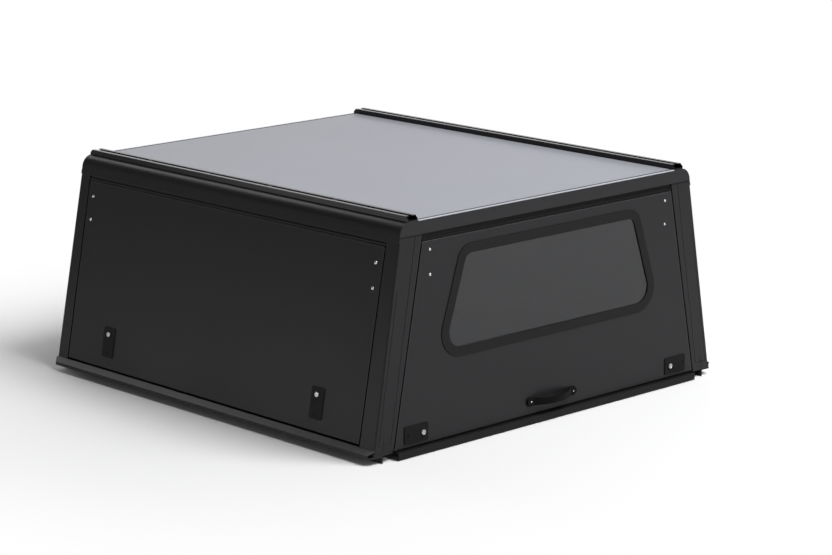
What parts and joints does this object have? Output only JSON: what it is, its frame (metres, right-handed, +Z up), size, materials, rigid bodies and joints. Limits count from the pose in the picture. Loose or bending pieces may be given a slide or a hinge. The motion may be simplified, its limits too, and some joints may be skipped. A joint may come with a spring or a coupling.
{
  "type": "pickup truck canopy",
  "caption": "Black metal canopy for a pickup tub with lift-up side doors, a lift-up rear door with a window, a grey roof and roof tracks.",
  "frame": {"origin": "below the middle of the whole canopy, at the level of its lowest edge", "axes": "+Z up, +Y towards the front (the side next to the cab), +X to the right of the vehicle; the rear door faces -Y"},
  "size_m": [1.6384, 1.6639, 0.768],
  "materials": {
    "black_coat": "satin",
    "inner_coat": "satin",
    "roof_coat": "satin",
    "tinted_glass": "gloss",
    "black_rubber": "matte",
    "lock_plastic": "matte",
    "bright_steel": "satin"
  },
  "bodies": {
    "frame": {"roof_skin": "roof_coat", "roof_bows": "inner_coat", "rear_header": "black_coat", "front_header": "black_coat", "front_base_rail": "black_coat", "front_bulkhead": "black_coat", "front_window_rubber": "black_rubber", "front_window_glass": "tinted_glass", "left_shoulder_rail": "black_coat", "left_roof_track": "black_coat", "left_base_rail": "black_coat", "left_rear_corner_post": "black_coat", "left_front_corner_post": "black_coat", "right_shoulder_rail": "black_coat", "right_roof_track": "black_coat", "right_base_rail": "black_coat", "right_rear_corner_post": "black_coat", "right_front_corner_post": "black_coat"},
    "left_door": {"left_door_hinge_strip": "black_coat", "left_door_skin": "black_coat", "left_door_inner_panel": "inner_coat", "left_door_seal": "black_rubber", "left_door_lock_front": "lock_plastic", "left_door_lock_rear": "lock_plastic"},
    "right_door": {"right_door_hinge_strip": "black_coat", "right_door_skin": "black_coat", "right_door_inner_panel": "inner_coat", "right_door_seal": "black_rubber", "right_door_lock_front": "lock_plastic", "right_door_lock_rear": "lock_plastic"},
    "rear_door": {"rear_door_hinge_strip": "black_coat", "rear_door_skin": "black_coat", "rear_door_inner_panel": "inner_coat", "rear_door_seal": "black_rubber", "rear_door_window_rubber": "black_rubber", "rear_door_window_glass": "tinted_glass", "rear_door_pull_handle": "black_coat", "rear_door_lock_left": "lock_plastic", "rear_door_lock_right": "lock_plastic", "rear_door_tailgate_lip": "black_coat"}
  },
  "joints": [
    {"name": "left_door_hinge", "type": "hinge", "parent": "frame", "child": "left_door", "pos_m": [-0.6851, 0.01, 0.67715], "axis": [0, 1, 0], "range_deg": [0, 95]},
    {"name": "right_door_hinge", "type": "hinge", "parent": "frame", "child": "right_door", "pos_m": [0.6851, 0.01, 0.67715], "axis": [0, -1, 0], "range_deg": [0, 95]},
    {"name": "rear_door_hinge", "type": "hinge", "parent": "frame", "child": "rear_door", "pos_m": [0, -0.78272, 0.69295], "axis": [-1, 0, 0], "range_deg": [0, 95]}
  ]
}
